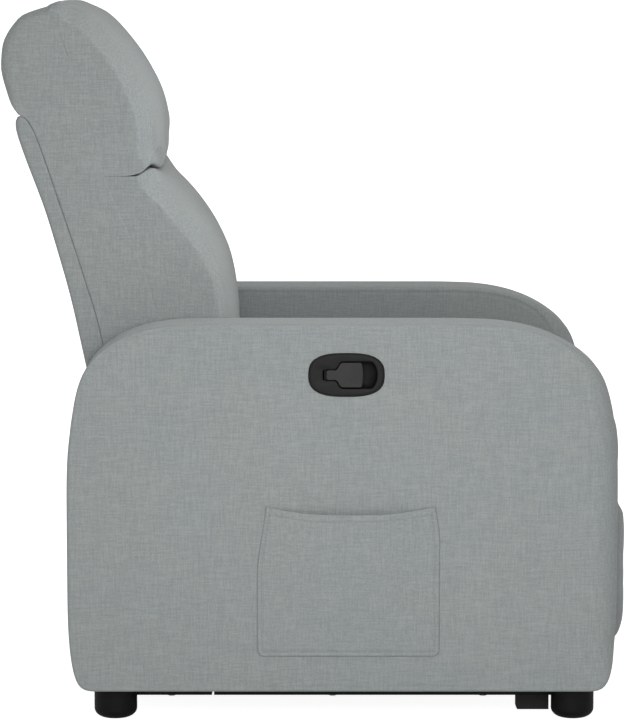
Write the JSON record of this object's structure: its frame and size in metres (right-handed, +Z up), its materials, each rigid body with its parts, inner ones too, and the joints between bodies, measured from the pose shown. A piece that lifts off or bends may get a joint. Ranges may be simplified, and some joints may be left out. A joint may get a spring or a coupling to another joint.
{
  "type": "recliner armchair",
  "caption": "Upholstered recliner armchair with rounded arms, side pocket, pull-tab release, folding footrest, sliding seat and reclining back.",
  "frame": {"origin": "centre of the footprint box on the floor, midway front to back and side to side", "axes": "+Z up, +X towards the sitter's feet (the front), -Y towards the sitter's right, where the handle and pocket are"},
  "size_m": [0.9334, 0.7085, 1.0323],
  "materials": {
    "fabric": "light grey linen-look upholstery weave",
    "inner_fabric": "dark grey lining and webbing",
    "timber": "raw plywood and pine",
    "black_steel": "satin black powder coat",
    "zinc_steel": "zinc-plated steel",
    "black_plastic": "fine-grained moulded black plastic",
    "nylon": "natural nylon",
    "spring_steel": "oiled spring wire"
  },
  "bodies": {
    "frame": {"arm_cover_right": "fabric", "arm_cover_left": "fabric", "arm_frame_right": "timber", "arm_frame_left": "timber", "side_pocket": "fabric", "handle_bezel": "black_plastic", "handle_pin": "zinc_steel", "release_cable": "black_plastic", "foot_front_right": "black_plastic", "foot_front_left": "black_plastic", "foot_rear_right": "black_plastic", "foot_rear_left": "black_plastic", "base_bolts": "zinc_steel", "rear_rail": "timber", "rear_skirt": "fabric", "base_rail_right": "black_steel", "base_rail_left": "black_steel", "cross_tube_front": "black_steel", "cross_tube_rear": "black_steel", "floor_block_right": "black_plastic", "floor_block_left": "black_plastic", "glide_track_right": "zinc_steel", "glide_track_left": "zinc_steel", "track_bolts": "zinc_steel"},
    "seat": {"mechanism_plate_right": "black_steel", "mechanism_plate_left": "black_steel", "plate_rivets": "zinc_steel", "track_glides": "nylon", "seat_frame": "timber", "seat_springs": "spring_steel", "seat_cushion": "fabric", "seat_packers": "timber", "closing_springs": "spring_steel"},
    "drive_arms": {"drive_link_right": "black_steel", "drive_link_left": "black_steel", "torque_tube": "black_steel", "drive_rivets": "zinc_steel"},
    "carriers": {"carrier_link_right": "black_steel", "carrier_link_left": "black_steel", "carrier_rivets": "zinc_steel"},
    "controls": {"control_link_right": "black_steel", "control_link_left": "black_steel", "control_rivets": "zinc_steel"},
    "steadies": {"steady_link_right": "black_steel", "steady_link_left": "black_steel", "steady_rivets": "zinc_steel"},
    "footrest": {"footrest_bracket_right": "black_steel", "footrest_bracket_left": "black_steel", "footrest_board": "timber", "footrest_cushion": "fabric"},
    "backrest": {"back_frame": "timber", "back_webbing": "inner_fabric", "back_core": "fabric", "lumbar_cushion": "fabric", "head_pillow": "fabric", "back_panel": "fabric", "back_bracket_right": "black_steel", "back_bracket_left": "black_steel"},
    "paddle": {"release_paddle": "black_plastic"}
  },
  "joints": [
    {"name": "seat_glide", "type": "slide", "parent": "frame", "child": "seat", "axis": [1, 0, 0], "range_m": [0, 0.06]},
    {"name": "recline", "type": "hinge", "parent": "seat", "child": "backrest", "pos_m": [-0.215, 0, 0.345], "axis": [0, -1, 0], "range_deg": [0, 38]},
    {"name": "footrest_drive", "type": "hinge", "parent": "seat", "child": "drive_arms", "pos_m": [0.3, 0, 0.3], "axis": [0, -1, 0], "range_deg": [0, 90], "deforming": ["closing_springs"]},
    {"name": "carrier_turn", "type": "hinge", "parent": "drive_arms", "child": "carriers", "pos_m": [0.22647, 0, 0.09797], "axis": [0, -1, 0], "range_deg": [-90, 0]},
    {"name": "footrest_turn", "type": "hinge", "parent": "carriers", "child": "footrest", "pos_m": [0.38203, 0, 0.25353], "axis": [0, -1, 0], "range_deg": [0, 90]},
    {"name": "control_turn", "type": "hinge", "parent": "seat", "child": "controls", "pos_m": [0.33536, 0, 0.33536], "axis": [0, -1, 0], "range_deg": [0, 90]},
    {"name": "steady_turn", "type": "hinge", "parent": "controls", "child": "steadies", "pos_m": [0.24472, 0, 0.08634], "axis": [0, -1, 0], "range_deg": [-90, 0]},
    {"name": "release_paddle", "type": "hinge", "parent": "frame", "child": "paddle", "pos_m": [0.0085, -0.3506, 0.505], "axis": [0, 0, -1], "range_deg": [0, 35], "stiffness_Nm_per_rad": 0.35, "springref_deg": -8.59}
  ],
  "couplings": [
    {"joint": "seat_glide", "follows": "recline", "m_per_rad": 0.090467},
    {"joint": "carrier_turn", "follows": "footrest_drive", "ratio": -1},
    {"joint": "footrest_turn", "follows": "footrest_drive", "ratio": 1},
    {"joint": "control_turn", "follows": "footrest_drive", "ratio": 1},
    {"joint": "steady_turn", "follows": "footrest_drive", "ratio": -1}
  ]
}
